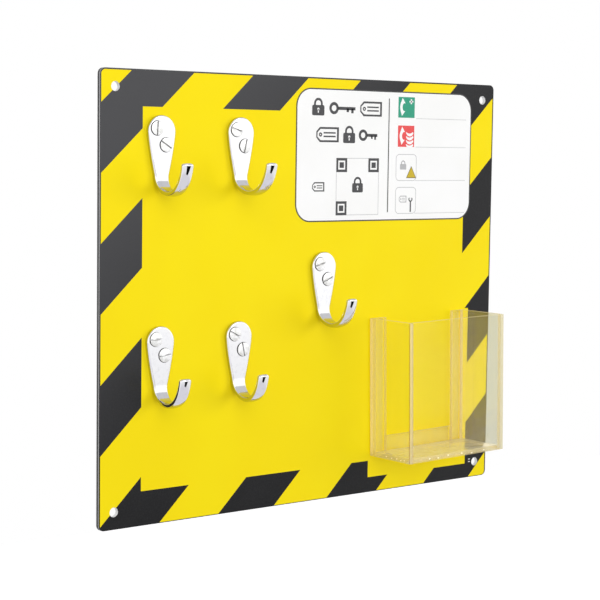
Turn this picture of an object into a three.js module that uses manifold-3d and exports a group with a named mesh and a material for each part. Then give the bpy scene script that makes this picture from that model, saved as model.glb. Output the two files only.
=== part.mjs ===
// Wall board for lockout gear: a printed composite board with five screwed-on hooks and a clear
// open-topped pocket. Millimetres, +X to the right, +Y into the wall, +Z up.
// The origin is the centre of the board's back face, and everything that faces the room is at -Y.

import * as THREE from 'three';
import { mergeVertices } from 'three/addons/utils/BufferGeometryUtils.js';
import Module from 'manifold-3d';

const wasm = await Module();
wasm.setup();

// Board: two metal skins on a plastic core, with a printed film and a header label on the front
const BOARD_WIDTH = 350;
const BOARD_HEIGHT = 300;
const BOARD_CORNER_RADIUS = 4;
const SKIN_THICKNESS = 0.3;
const CORE_THICKNESS = 2.4;
const FILM_THICKNESS = 0.2;
const FIXING_HOLE_DIAMETER = 6.6;
const FIXING_HOLE_INSET = 11.6;

const LABEL_WIDTH = 168;
const LABEL_HEIGHT = 93.7;
const LABEL_CORNER_RADIUS = 13;
const LABEL_THICKNESS = 0.2;
const LABEL_RIGHT_INSET = 23;
const LABEL_TOP_INSET = 7.5;

// Hook: a teardrop plate that narrows into an arm, which bends out and up
const HOOK_HEAD_RADIUS = 10.6;
const HOOK_THICKNESS = 3.2;
const HOOK_NECK_WIDTH = 11;
const HOOK_ARM_WIDTH = 8;
const HOOK_TIP_WIDTH = 8.7;
const HOOK_TAPER_POWER = 1.35;
const HOOK_NARROWING_POWER = 3;
const HOOK_FLARE_POWER = 4;
const HOOK_PLATE_LENGTH = 39;
const HOOK_BEND_START_PULL = 14.9;
const HOOK_BEND_END_PULL = 28.8;
const HOOK_TIP_LEAN = 9.5;
const HOOK_REACH = 32;
const HOOK_TIP_DROP = 31;
const HOOK_FRONT_EDGE_RADIUS = 1.1;
const HOOK_BACK_EDGE_RADIUS = 0.4;

// Hook screws, each with a washer and a nut behind the board
const SCREW_LENGTH = 12;
const SCREW_SHANK_DIAMETER = 4.9;
const SCREW_HEAD_DIAMETER = 9.4;
const SCREW_RIM_HEIGHT = 0.6;
const SCREW_DOME_HEIGHT = 0.5;
const SCREW_TIP_CHAMFER = 0.6;
const SLOT_WIDTH = 1.2;
const SLOT_DEPTH = 1.5;
const SCREW_CLEARANCE = 0.3;
const WASHER_DIAMETER = 10;
const WASHER_THICKNESS = 1;
const NUT_ACROSS_FLATS = 8;
const NUT_HEIGHT = 4;

// Each hook hangs at a distance from the board's left and top edges. The castings are bent a little
// differently: reach and drop are each one's shares of how far the tip's middle lies in front of
// the plate's and below the plate's top. Slots are turned as the screws happened to stop, in
// degrees from level, first the upper screw's and then the lower one's.
const LEFT_COLUMN = 45.8;
const MIDDLE_COLUMN = 110;
const CENTRE_COLUMN = 184;
const UPPER_ROW = 29.2;
const CENTRE_ROW = 122.2;
const LOWER_ROW = 167.6;
const HOOKS = [
  { name: 'upper_left_hook', left: LEFT_COLUMN, top: UPPER_ROW, reach: 0.972, drop: 0.997, slots: [87, -31] },
  { name: 'upper_middle_hook', left: MIDDLE_COLUMN, top: UPPER_ROW, reach: 1.119, drop: 0.974, slots: [-17, 77] },
  { name: 'centre_hook', left: CENTRE_COLUMN, top: CENTRE_ROW, reach: 1.016, drop: 0.994, slots: [14, 21] },
  { name: 'lower_left_hook', left: LEFT_COLUMN, top: LOWER_ROW, reach: 0.947, drop: 1.019, slots: [2, 9] },
  { name: 'lower_middle_hook', left: MIDDLE_COLUMN, top: LOWER_ROW, reach: 0.916, drop: 1.074, slots: [-27, -77] },
];

// Screw places on a hook's plate: across from its centreline and down from its top
const HOOK_SCREWS = [
  { name: 'upper', across: -4.2, down: 8.6 },
  { name: 'lower', across: 2.8, down: 19.4 },
];

// Pocket: clear sheets glued into an open-topped box, held by tape under three strips at its back
const POCKET_WIDTH = 93;
const POCKET_HEIGHT = 101.2;
const POCKET_DEPTH = 43.5;
const POCKET_SHEET = 3;
const POCKET_STRIP_WIDTH = 10.5;
const POCKET_RIGHT_INSET = 27;
const POCKET_BOTTOM_INSET = 28.1;
const POCKET_TURN_DEGREES = 1.35;
const POCKET_GLUE_LINE = 0.01;
const TAPE_THICKNESS = 1;
const TAPE_MARGIN = 1;

// Facets
const CIRCLE_STEPS = 6;
const ROUND_STEPS = 16;
const HEAD_STEPS = 7;
const TAPER_STEPS = 7;
const BEND_STEPS = 17;
const EDGE_STEPS = 2;
const DOME_STEPS = 3;
const TOP_STEP_SHARE = 0.6;
const CUT_OVERRUN = 1;
const MERGE_DISTANCE = 1e-5;

// Depths from the board's back face, towards the room
const FRONT_SKIN_BACK = -SKIN_THICKNESS - CORE_THICKNESS;
const FILM_BACK = FRONT_SKIN_BACK - SKIN_THICKNESS;
const FILM_FRONT = FILM_BACK - FILM_THICKNESS;
const HOOK_FRONT = FILM_FRONT - HOOK_THICKNESS;
const POCKET_BACK = FILM_FRONT - TAPE_THICKNESS;
const POCKET_FRONT_PANEL_BACK = POCKET_BACK - POCKET_DEPTH + POCKET_SHEET;

const hookX = (hook) => hook.left - BOARD_WIDTH / 2;
const hookTop = (hook) => BOARD_HEIGHT / 2 - hook.top;
const screwX = (hook, screw) => hookX(hook) + screw.across;
const screwZ = (hook, screw) => hookTop(hook) - screw.down;

const finishes = {
  core: { color: 0x18181a, roughness: 0.7, metalness: 0 },
  skin: { color: 0xc9cacc, roughness: 0.35, metalness: 1 },
  film: { color: 0xf5dc12, roughness: 0.4, metalness: 0 },
  label: { color: 0xf6f6f6, roughness: 0.35, metalness: 0 },
  chrome: { color: 0xe8e8ea, roughness: 0.08, metalness: 1 },
  zinc: { color: 0xb9babd, roughness: 0.3, metalness: 1 },
  acrylic: { color: 0xe9e6da, roughness: 0.08, metalness: 0, transparent: true, opacity: 0.35 },
  tape: { color: 0xe4e0d0, roughness: 0.6, metalness: 0, transparent: true, opacity: 0.7 },
};

const board = new THREE.Group();

function addPiece(name, geometry, finish) {
  const piece = new THREE.Mesh(geometry, new THREE.MeshStandardMaterial(finishes[finish]));
  piece.name = name;
  board.add(piece);
}

// A rectangle in the board's plane, with round corners where a radius is given
function rectangle(left, right, bottom, top, radius = 0) {
  const shape = new THREE.Shape();
  if (radius === 0) {
    shape.moveTo(left, bottom);
    shape.lineTo(right, bottom);
    shape.lineTo(right, top);
    shape.lineTo(left, top);
    shape.closePath();
    return shape;
  }
  shape.absarc(right - radius, bottom + radius, radius, -Math.PI / 2, 0);
  shape.absarc(right - radius, top - radius, radius, 0, Math.PI / 2);
  shape.absarc(left + radius, top - radius, radius, Math.PI / 2, Math.PI);
  shape.absarc(left + radius, bottom + radius, radius, Math.PI, 1.5 * Math.PI);
  shape.closePath();
  return shape;
}

function addRoundHole(shape, x, z, diameter) {
  const hole = new THREE.Path();
  hole.absarc(x, z, diameter / 2, 0, 2 * Math.PI, true);
  shape.holes.push(hole);
}

// Stands an outline up in the X-Z plane and gives it a thickness from its back face to the front
function upright(shape, back, thickness) {
  const geometry = new THREE.ExtrudeGeometry(shape, {
    depth: 1,
    bevelEnabled: false,
    curveSegments: CIRCLE_STEPS,
  });
  const points = geometry.attributes.position;
  for (let i = 0; i < points.count; i += 1) {
    points.setXYZ(i, points.getX(i), back - points.getZ(i) * thickness, points.getY(i));
  }
  geometry.computeVertexNormals();
  return geometry;
}

function toSolid(geometry) {
  const bare = geometry.clone();
  bare.deleteAttribute('normal');
  bare.deleteAttribute('uv');
  const merged = mergeVertices(bare, MERGE_DISTANCE);
  return new wasm.Manifold(new wasm.Mesh({
    numProp: 3,
    vertProperties: new Float32Array(merged.attributes.position.array),
    triVerts: new Uint32Array(merged.index.array),
  }));
}

function toGeometry(solid) {
  const mesh = solid.getMesh();
  const geometry = new THREE.BufferGeometry();
  geometry.setAttribute('position', new THREE.BufferAttribute(mesh.vertProperties, 3));
  geometry.setIndex(new THREE.BufferAttribute(mesh.triVerts, 1));
  geometry.computeVertexNormals();
  return geometry;
}

// A turned shape about the Y axis, from [radius, depth] pairs that run towards the wall
function turned(profile) {
  return new THREE.LatheGeometry(profile.map(([r, y]) => new THREE.Vector2(r, y)), ROUND_STEPS);
}

// Board layers

function boardLayer(back, thickness) {
  const halfWidth = BOARD_WIDTH / 2;
  const halfHeight = BOARD_HEIGHT / 2;
  const outline = rectangle(-halfWidth, halfWidth, -halfHeight, halfHeight, BOARD_CORNER_RADIUS);
  for (const side of [-1, 1]) {
    for (const end of [-1, 1]) {
      const x = side * (halfWidth - FIXING_HOLE_INSET);
      const z = end * (halfHeight - FIXING_HOLE_INSET);
      addRoundHole(outline, x, z, FIXING_HOLE_DIAMETER);
    }
  }
  for (const hook of HOOKS) {
    for (const screw of HOOK_SCREWS) {
      const diameter = SCREW_SHANK_DIAMETER + 2 * SCREW_CLEARANCE;
      addRoundHole(outline, screwX(hook, screw), screwZ(hook, screw), diameter);
    }
  }
  return upright(outline, back, thickness);
}

function headerLabel() {
  const right = BOARD_WIDTH / 2 - LABEL_RIGHT_INSET;
  const top = BOARD_HEIGHT / 2 - LABEL_TOP_INSET;
  const outline = rectangle(right - LABEL_WIDTH, right, top - LABEL_HEIGHT, top, LABEL_CORNER_RADIUS);
  return upright(outline, FILM_FRONT, LABEL_THICKNESS);
}

// Hook

const plateMiddle = HOOK_THICKNESS / 2;

// The middle line of a hook's arm as [out from the board, down from the plate's top]
function armBend({ reach, drop }) {
  const tipMiddle = plateMiddle + reach * HOOK_REACH;
  const tipDrop = drop * HOOK_TIP_DROP;
  const lean = THREE.MathUtils.degToRad(HOOK_TIP_LEAN);
  return new THREE.CubicBezierCurve(
    new THREE.Vector2(plateMiddle, HOOK_PLATE_LENGTH),
    new THREE.Vector2(plateMiddle, HOOK_PLATE_LENGTH + HOOK_BEND_START_PULL),
    new THREE.Vector2(
      tipMiddle - HOOK_BEND_END_PULL * Math.sin(lean),
      tipDrop + HOOK_BEND_END_PULL * Math.cos(lean),
    ),
    new THREE.Vector2(tipMiddle, tipDrop),
  );
}

// One station has the middle point, the direction along the hook and the width there. The first
// one lies a part of a step below the plate's top, where the round head already has some width.
function hookStations(hook) {
  const bend = armBend(hook);
  const stations = [];
  const down = new THREE.Vector2(0, 1);
  for (let i = 0; i < HEAD_STEPS; i += 1) {
    const angle = (Math.PI / 2) * ((i + TOP_STEP_SHARE) / (HEAD_STEPS - 1 + TOP_STEP_SHARE));
    const drop = HOOK_HEAD_RADIUS * (1 - Math.cos(angle));
    const middle = new THREE.Vector2(plateMiddle, drop);
    stations.push({ middle, along: down, width: 2 * HOOK_HEAD_RADIUS * Math.sin(angle) });
  }
  for (let i = 1; i < TAPER_STEPS; i += 1) {
    const share = i / TAPER_STEPS;
    const drop = THREE.MathUtils.lerp(HOOK_HEAD_RADIUS, HOOK_PLATE_LENGTH, share);
    const narrowing = (2 * HOOK_HEAD_RADIUS - HOOK_NECK_WIDTH) * share ** HOOK_TAPER_POWER;
    const middle = new THREE.Vector2(plateMiddle, drop);
    stations.push({ middle, along: down, width: 2 * HOOK_HEAD_RADIUS - narrowing });
  }
  for (let i = 0; i <= BEND_STEPS; i += 1) {
    const share = i / BEND_STEPS;
    const neck = (HOOK_NECK_WIDTH - HOOK_ARM_WIDTH) * (1 - share) ** HOOK_NARROWING_POWER;
    const flare = (HOOK_TIP_WIDTH - HOOK_ARM_WIDTH) * share ** HOOK_FLARE_POWER;
    const width = HOOK_ARM_WIDTH + neck + flare;
    stations.push({ middle: bend.getPoint(share), along: bend.getTangent(share), width });
  }
  return stations;
}

// A section's outline as [across, towards the front] pairs, with its four edges rounded
function hookSection(width) {
  const points = [];
  const corners = [
    { side: 1, face: -1, radius: HOOK_BACK_EDGE_RADIUS, start: -Math.PI / 2 },
    { side: 1, face: 1, radius: HOOK_FRONT_EDGE_RADIUS, start: 0 },
    { side: -1, face: 1, radius: HOOK_FRONT_EDGE_RADIUS, start: Math.PI / 2 },
    { side: -1, face: -1, radius: HOOK_BACK_EDGE_RADIUS, start: Math.PI },
  ];
  for (const { side, face, radius, start } of corners) {
    for (let i = 0; i <= EDGE_STEPS; i += 1) {
      const angle = start + (Math.PI / 2) * (i / EDGE_STEPS);
      points.push([
        side * (width / 2 - radius) + radius * Math.cos(angle),
        face * (HOOK_THICKNESS / 2 - radius) + radius * Math.sin(angle),
      ]);
    }
  }
  return points;
}

// The hook's skin runs from section to section, with a flat cap at the plate's top and at the tip
function hookBody(hook) {
  const x = hookX(hook);
  const top = hookTop(hook);
  const stations = hookStations(hook);
  const positions = [];
  let ring = 0;
  for (const { middle, along, width } of stations) {
    const section = hookSection(width);
    ring = section.length;
    for (const [across, forward] of section) {
      const out = middle.x + forward * along.y;
      const drop = middle.y - forward * along.x;
      positions.push(x + across, FILM_FRONT - out, top - drop);
    }
  }
  const faces = [];
  for (let i = 0; i < stations.length - 1; i += 1) {
    for (let j = 0; j < ring; j += 1) {
      const a = i * ring + j;
      const b = i * ring + ((j + 1) % ring);
      faces.push(a, b, a + ring, b, b + ring, a + ring);
    }
  }
  const last = (stations.length - 1) * ring;
  for (let j = 1; j < ring - 1; j += 1) {
    faces.push(0, j + 1, j);
    faces.push(last, last + j, last + j + 1);
  }
  const geometry = new THREE.BufferGeometry();
  geometry.setAttribute('position', new THREE.Float32BufferAttribute(positions, 3));
  geometry.setIndex(faces);
  return geometry;
}

// Seat for a screw: a hole for the shank and a cone for the head, open to the front
function screwSeat() {
  const shank = SCREW_SHANK_DIAMETER / 2 + SCREW_CLEARANCE;
  const head = SCREW_HEAD_DIAMETER / 2 + SCREW_CLEARANCE;
  return turned([
    [0, HOOK_FRONT - CUT_OVERRUN],
    [head, HOOK_FRONT - CUT_OVERRUN],
    [head, HOOK_FRONT],
    [shank, HOOK_FRONT + head - shank],
    [shank, FILM_FRONT + CUT_OVERRUN],
    [0, FILM_FRONT + CUT_OVERRUN],
  ]);
}

function hookWithSeats(hook) {
  let solid = toSolid(hookBody(hook));
  for (const screw of HOOK_SCREWS) {
    const seat = toSolid(screwSeat()).translate([screwX(hook, screw), 0, screwZ(hook, screw)]);
    solid = solid.subtract(seat);
  }
  return toGeometry(solid);
}

// Fasteners, each made about its own axis and moved to its place

// The head's dome is a shallow bowl, which falls with the square of the distance from its middle
function slottedScrew(slotAngle) {
  const shank = SCREW_SHANK_DIAMETER / 2;
  const head = SCREW_HEAD_DIAMETER / 2;
  const rim = HOOK_FRONT - SCREW_RIM_HEIGHT;
  const crown = rim - SCREW_DOME_HEIGHT;
  const tip = HOOK_FRONT + SCREW_LENGTH;
  const dome = [];
  for (let i = 0; i <= DOME_STEPS; i += 1) {
    const share = i / DOME_STEPS;
    dome.push([head * share, crown + SCREW_DOME_HEIGHT * share ** 2]);
  }
  const body = toSolid(turned([
    ...dome,
    [head, HOOK_FRONT],
    [shank, HOOK_FRONT + head - shank],
    [shank, tip - SCREW_TIP_CHAMFER],
    [shank - SCREW_TIP_CHAMFER, tip],
    [0, tip],
  ]));
  const slotLength = SCREW_HEAD_DIAMETER + 2 * CUT_OVERRUN;
  const slot = new THREE.BoxGeometry(slotLength, 2 * SLOT_DEPTH, SLOT_WIDTH);
  slot.rotateY(-THREE.MathUtils.degToRad(slotAngle));
  slot.translate(0, crown, 0);
  return body.subtract(toSolid(slot));
}

function washer() {
  const hole = SCREW_SHANK_DIAMETER / 2 + SCREW_CLEARANCE;
  return turned([
    [hole, 0],
    [WASHER_DIAMETER / 2, 0],
    [WASHER_DIAMETER / 2, WASHER_THICKNESS],
    [hole, WASHER_THICKNESS],
    [hole, 0],
  ]);
}

function hexNut(x, z) {
  const outline = new THREE.Shape();
  const corner = NUT_ACROSS_FLATS / Math.sqrt(3);
  for (let i = 0; i < 6; i += 1) {
    const angle = (Math.PI / 3) * i;
    const step = i === 0 ? 'moveTo' : 'lineTo';
    outline[step](x + corner * Math.cos(angle), z + corner * Math.sin(angle));
  }
  outline.closePath();
  addRoundHole(outline, x, z, SCREW_SHANK_DIAMETER + 2 * SCREW_CLEARANCE);
  return upright(outline, WASHER_THICKNESS + NUT_HEIGHT, NUT_HEIGHT);
}

function addFasteners(hook, screw, slotAngle) {
  const x = screwX(hook, screw);
  const z = screwZ(hook, screw);
  const prefix = `${hook.name}_${screw.name}`;
  addPiece(`${prefix}_screw`, toGeometry(slottedScrew(slotAngle).translate([x, 0, z])), 'chrome');
  addPiece(`${prefix}_washer`, washer().translate(x, 0, z), 'zinc');
  addPiece(`${prefix}_nut`, hexNut(x, z), 'zinc');
}

// Pocket

// The sides cover the front sheet's ends and the base's ends. The strips close the back corners,
// and the base lies between them with a line of glue all round, so that the floor of the pocket is
// all clear. The whole pocket is stuck on a little askew, turned about its middle with its left
// side down.
function pocketPieces() {
  const right = BOARD_WIDTH / 2 - POCKET_RIGHT_INSET;
  const left = right - POCKET_WIDTH;
  const bottom = POCKET_BOTTOM_INSET - BOARD_HEIGHT / 2;
  const top = bottom + POCKET_HEIGHT;
  const innerLeft = left + POCKET_SHEET;
  const innerRight = right - POCKET_SHEET;
  const floor = bottom + POCKET_SHEET;
  const stripLeft = innerLeft + POCKET_STRIP_WIDTH;
  const stripRight = innerRight - POCKET_STRIP_WIDTH;
  const stripFront = POCKET_BACK - POCKET_SHEET;
  const baseLeft = innerLeft + POCKET_GLUE_LINE;
  const baseRight = innerRight - POCKET_GLUE_LINE;
  const baseBack = stripFront - POCKET_GLUE_LINE;
  const baseDepth = POCKET_DEPTH - 2 * POCKET_SHEET - 2 * POCKET_GLUE_LINE;
  const strips = {
    left: [innerLeft, stripLeft, bottom, top],
    right: [stripRight, innerRight, bottom, top],
    lower: [stripLeft, stripRight, bottom, floor + POCKET_STRIP_WIDTH],
  };
  const middleX = (left + right) / 2;
  const middleZ = (bottom + top) / 2;
  const turn = THREE.MathUtils.degToRad(POCKET_TURN_DEGREES);

  function addTurned(name, outline, back, thickness, finish) {
    const geometry = upright(outline, back, thickness);
    geometry.translate(-middleX, 0, -middleZ).rotateY(-turn).translate(middleX, 0, middleZ);
    addPiece(name, geometry, finish);
  }

  function addSheet(name, x0, x1, z0, z1, back, thickness) {
    addTurned(name, rectangle(x0, x1, z0, z1), back, thickness, 'acrylic');
  }

  addSheet('pocket_left_side', left, innerLeft, bottom, top, POCKET_BACK, POCKET_DEPTH);
  addSheet('pocket_right_side', innerRight, right, bottom, top, POCKET_BACK, POCKET_DEPTH);
  addSheet('pocket_base', baseLeft, baseRight, bottom, floor, baseBack, baseDepth);
  addSheet('pocket_front', innerLeft, innerRight, bottom, top, POCKET_FRONT_PANEL_BACK, POCKET_SHEET);
  for (const [name, [x0, x1, z0, z1]] of Object.entries(strips)) {
    const tape = rectangle(x0 + TAPE_MARGIN, x1 - TAPE_MARGIN, z0 + TAPE_MARGIN, z1 - TAPE_MARGIN);
    addSheet(`pocket_${name}_strip`, x0, x1, z0, z1, POCKET_BACK, POCKET_SHEET);
    addTurned(`pocket_${name}_tape`, tape, FILM_FRONT, TAPE_THICKNESS, 'tape');
  }
}

addPiece('back_skin', boardLayer(0, SKIN_THICKNESS), 'skin');
addPiece('board_core', boardLayer(-SKIN_THICKNESS, CORE_THICKNESS), 'core');
addPiece('front_skin', boardLayer(FRONT_SKIN_BACK, SKIN_THICKNESS), 'skin');
addPiece('printed_film', boardLayer(FILM_BACK, FILM_THICKNESS), 'film');
addPiece('header_label', headerLabel(), 'label');
for (const hook of HOOKS) {
  addPiece(hook.name, hookWithSeats(hook), 'chrome');
  HOOK_SCREWS.forEach((screw, i) => addFasteners(hook, screw, hook.slots[i]));
}
pocketPieces();

export default board;
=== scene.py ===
"""Looks of a wall board for lockout gear: a printed board, chromed hooks and a clear pocket.

Metres throughout. +X runs to the right across the board, +Y into the wall and +Z up, and the
origin is the centre of the board's back face.
"""

import math

import bmesh
import bpy
import numpy as np
from mathutils import Matrix, Vector


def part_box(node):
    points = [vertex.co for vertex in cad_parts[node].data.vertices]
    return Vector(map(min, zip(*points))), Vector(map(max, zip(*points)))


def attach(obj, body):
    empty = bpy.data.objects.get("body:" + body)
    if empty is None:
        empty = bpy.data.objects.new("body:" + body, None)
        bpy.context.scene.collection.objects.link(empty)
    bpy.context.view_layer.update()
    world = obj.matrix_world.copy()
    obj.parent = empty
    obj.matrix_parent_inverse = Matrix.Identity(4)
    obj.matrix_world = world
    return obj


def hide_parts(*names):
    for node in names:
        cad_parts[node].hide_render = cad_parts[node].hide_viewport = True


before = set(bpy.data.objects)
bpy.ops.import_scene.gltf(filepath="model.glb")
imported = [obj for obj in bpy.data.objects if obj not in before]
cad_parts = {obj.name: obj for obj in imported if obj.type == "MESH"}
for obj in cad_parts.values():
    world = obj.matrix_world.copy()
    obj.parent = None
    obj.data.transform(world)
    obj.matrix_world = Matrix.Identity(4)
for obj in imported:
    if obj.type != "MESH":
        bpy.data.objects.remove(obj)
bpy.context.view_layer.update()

# Each hook: how far its tip lies in front of its plate and below its top, at their middles, and
# how its upper and its lower screw's slot happened to stop, in degrees from level
HOOKS = {
    "upper_left_hook": (0.0311, 0.0309, 87, -31),
    "upper_middle_hook": (0.0358, 0.0302, -17, 77),
    "centre_hook": (0.0325, 0.0308, 14, 21),
    "lower_left_hook": (0.0303, 0.0316, 2, 9),
    "lower_middle_hook": (0.0293, 0.0333, -27, -77),
}
SCREW_ROWS = ["upper", "lower"]

# Hook, as the solids have it: a teardrop plate that narrows into an arm
HEAD_RADIUS = 0.0106
HOOK_THICKNESS = 0.0032
NECK_WIDTH = 0.011
ARM_WIDTH = 0.0080
TIP_WIDTH = 0.0087
TAPER_POWER = 1.35
PLATE_LENGTH = 0.039
BEND_START_PULL = 0.0149
BEND_END_PULL = 0.0288
TIP_LEAN = math.radians(9.5)
FRONT_EDGE_RADIUS = 0.0011
BACK_EDGE_RADIUS = 0.0004
TIP_ROUNDING = 0.0022
ARM_BLEND = 0.014
ARM_EDGE_RADIUS = 0.0006
TIP_EDGE_RADIUS = 0.0009
OUTER_BULGE = 0.0006
TIP_BULGE = 0.0008
TIP_ZONE = 0.014
TIP_SQUARENESS = 2.6

# Fasteners
SHANK_RADIUS = 0.00245
THREAD_PITCH = 0.0008
THREAD_DEPTH = 0.00045
THREAD_RINGS = 8
HEAD_RIM = 0.0008
HEAD_DOME = 0.0002
HEAD_EDGE = 0.00012
RIM_START = 0.95
RIM_FACING = 0.8
SCREW_CLEARANCE = 0.0003
BORE_RADIUS = SHANK_RADIUS + SCREW_CLEARANCE
SLOT_WIDTH = 0.0010
SLOT_DEPTH = 0.0015
NUT_FLATS = 0.008
NUT_CHAMFER_START = 0.0037
NUT_CHAMFER_ANGLE = math.radians(30)
EDGE_BREAK = 0.00015
STUB_LENGTH = 0.0002
CUT_OVERRUN = 0.001

# Pocket, stuck on a little askew, with its left side down
POCKET_TURN = math.radians(1.35)
GLUE_GAP = 0.00003
PLATE_EDGE = 0.0002
CUT_EDGE_FACING = 0.9
BEAD_SIZE = (0.0009, 0.0005, 0.0006)
SIDE_BEAD_SHARE = 0.7
# Band behind the left side's front edge that is tinted darker, as a painted dark reflection
PAINTED_REFLECTION_BAND = (0.0008, 0.0016)
DUST_HEIGHTS = (0.012, 0.045)
CLEAR_TINT = (0.994, 0.992, 0.975, 1)
# Tint of that painted dark reflection
PAINTED_REFLECTION_TINT = (0.66, 0.55, 0.55, 1)
# The clear sheets' milk: a faint real haze, tinted yellow as a painted reflection of the yellow
# board
MILK_AND_BOARD_REFLECTION = (0.98, 0.90, 0.60, 1)
CREAMY_MILK = (0.98, 0.92, 0.74, 1)
PALE_MILK = (0.98, 0.96, 0.88, 1)
GLUE_MILK = (0.99, 0.95, 0.72, 1)

# Beads of set glue: along the foot of the front from its left end and up, and back along the
# left side and up
FRONT_BEADS = [
    (0.0165, 0.0017), (0.0250, 0.0013), (0.0347, 0.0021),
    (0.0482, 0.0019), (0.0583, 0.0009), (0.0706, 0.0016),
]
SIDE_BEADS = [
    (0.0068, 0.0016), (0.0105, 0.0013), (0.0150, 0.0018), (0.0205, 0.0015), (0.0262, 0.0019),
]

# Print, measured from the board's upper left corner
STRIPE_ACROSS = 0.0482
STRIPE_DOWN = 0.0458
STRIPE_START = 0.49
STRIPE_DRIFT = (0.00081, 0.00803, -0.00656, -0.01014, 0.0069, -0.00299)
INSIDE_ACROSS = (0.0325, 0.3206)
INSIDE_DOWN = (0.0240, 0.2768)
CLEARED_ACROSS = (0.230, 0.328)
CLEARED_DOWN = (0.169, 0.289)
OUTLINE_WIDTH = 0.0010
OUTLINE_BOTTOM = 0.0005
OUTLINE_RADIUS = 0.003
LABEL_RADIUS = 0.013
LABEL_LINE = 0.0009

# The black is painted lighter towards the upper left: a painted sheen in place of a glossy
# reflection
SHEEN_SLANT = 0.82
SHEEN_UNEVENNESS = 0.03
SHEEN_RANGE = (-0.03, 0.27)

YELLOW_LIGHT = (0.97, 0.775, 0.003, 1)
YELLOW_DEEP = (0.955, 0.745, 0.003, 1)
INK_DARK = (0.009, 0.009, 0.010, 1)
INK_WORN = (0.015, 0.015, 0.016, 1)
INK_PAINTED_SHEEN = (0.066, 0.066, 0.070, 1)

# Two small pale dashes in the print beside the lower right hole
PALE_DASHES = [(0.3327, 0.2860), (0.3327, 0.2880)]
DASH_HALF_WIDTH = 0.0010
DASH_HALF_HEIGHT = 0.00035

# How far marks rise from the label's front, in millimetres: on the label, on a tile, and for the
# frame under the code's corner squares
ON_LABEL = (-0.02, 0.05)
ON_TILE = (0.03, 0.08)
UNDER_CORNERS = (-0.02, 0.04)

# Marks, as across, down and size in millimetres from the board's upper left corner
PADLOCKS = [(173.0, 14.2, 11.0), (201.6, 33.2, 11.0), (210.6, 69.4, 10.0)]
KEYS = [(188.5, 16.8, 24.0, 8.6), (216.0, 35.6, 17.5, 8.2)]
TAGS = [(217.0, 15.6, 20.5, 10.6), (177.0, 34.5, 20.5, 10.6), (173.9, 73.2, 11.0, 6.6)]
CODE_CORNERS = [(195.6, 56.1), (225.5, 56.1), (195.6, 86.8)]
RULES_DOWN = (26.8, 47.6, 72.2, 96.2)

# Drilled corner holes, from the board's middle
HOLE_ACROSS = 0.1634
HOLE_UP = 0.1384
HOLE_ZONE = 0.0045

# Camera, from a fit to the board's edges in a frame 600 pixels wide
IMAGE_WIDTH = 600
FOCAL_PIXELS = 1714.4
CAMERA_PLACE = (-0.7559, -0.9424, 0.1000)
CAMERA_YAW = math.radians(38.44)
CAMERA_PITCH = math.radians(-5.04)
CAMERA_ROLL = math.radians(0.77)

# Studio. Azimuths and elevations are in degrees, as pairs of where a thing starts and ends
EVEN_LIGHT = 0.53
TENT_WALL = (1.75, 1.75, 1.75, 1)
TENT_ROOF = (0.90, 0.90, 0.93, 1)
# Painted shade: the backdrop seen through the clear sheets is greyer than the white around it
PAINTED_SHADE_BEHIND_SHEETS = (0.63, 0.67, 0.66, 1)
TABLE_UNDER = (1.06, 1.04, 1.12, 1)
TABLE_BEYOND = (1.32, 1.32, 1.34, 1)
LAMP_PANEL = (5, 5, 5, 1)
TABLE_CHANGE = (-38, -26)
TABLE_END = (-10, -2)
ROOF_START = (30, 38)
LAMP_AZIMUTHS = (6, 34)
LAMP_ELEVATIONS = (14, 38)
STAND_AZIMUTH = 34.5
STAND_HALF_WIDTH = (23.5, 25.5)
STAND_WIDENING = 0.5
STAND_ELEVATIONS = (-34.5, -13)
FLOOR_DROP = 0.12
FLOOR_REACH = 4.0
FLOOR_BACK = 0.45

scene = bpy.context.scene
board_low, board_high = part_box("printed_film")
LEFT = board_low.x
TOP = board_high.z


# Meshes

WELD_DISTANCE = 2e-7
SLIVER_LENGTH = 1e-8


def join(parts):
    """One pair of points and quads from several."""
    points = []
    quads = []
    count = 0
    for part_points, part_quads in parts:
        points.append(part_points)
        quads.append(part_quads + count)
        count += len(part_points)
    return np.concatenate(points), np.concatenate(quads)


def grid(points, closed_rows=False):
    """Points and quads of rows by columns by 3. Each row is a ring, and if asked each column."""
    index = np.arange(points.shape[0] * points.shape[1]).reshape(points.shape[:2])
    down = np.roll(index, -1, axis=0)
    quads = np.stack([index, np.roll(index, -1, axis=1), np.roll(down, -1, axis=1), down], axis=-1)
    if not closed_rows:
        quads = quads[:-1]
    return points.reshape(-1, 3), quads.reshape(-1, 4)


def add(name, data):
    """A new object in the scene."""
    thing = bpy.data.objects.new(name, data)
    scene.collection.objects.link(thing)
    return thing


def make_piece(name, shape, material, place=0, smooth_angle=35):
    """A welded mesh object with its faces pointing out, smooth except at its sharper edges."""
    points, quads = shape
    mesh = bpy.data.meshes.new(name)
    mesh.from_pydata((points + place).tolist(), [], quads.tolist())
    work = bmesh.new()
    work.from_mesh(mesh)
    bmesh.ops.remove_doubles(work, verts=work.verts, dist=WELD_DISTANCE)
    bmesh.ops.dissolve_degenerate(work, edges=work.edges, dist=SLIVER_LENGTH)
    bmesh.ops.recalc_face_normals(work, faces=work.faces)
    work.to_mesh(mesh)
    work.free()
    mesh.materials.append(material)
    mesh.shade_smooth()
    mesh.set_sharp_from_angle(angle=math.radians(smooth_angle))
    return add(name, mesh)


def settle(piece, slot, *nodes):
    """The piece rides on the board and stands for its nodes. Its slot is not used."""
    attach(piece, "root")
    if nodes:
        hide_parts(*nodes)


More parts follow.
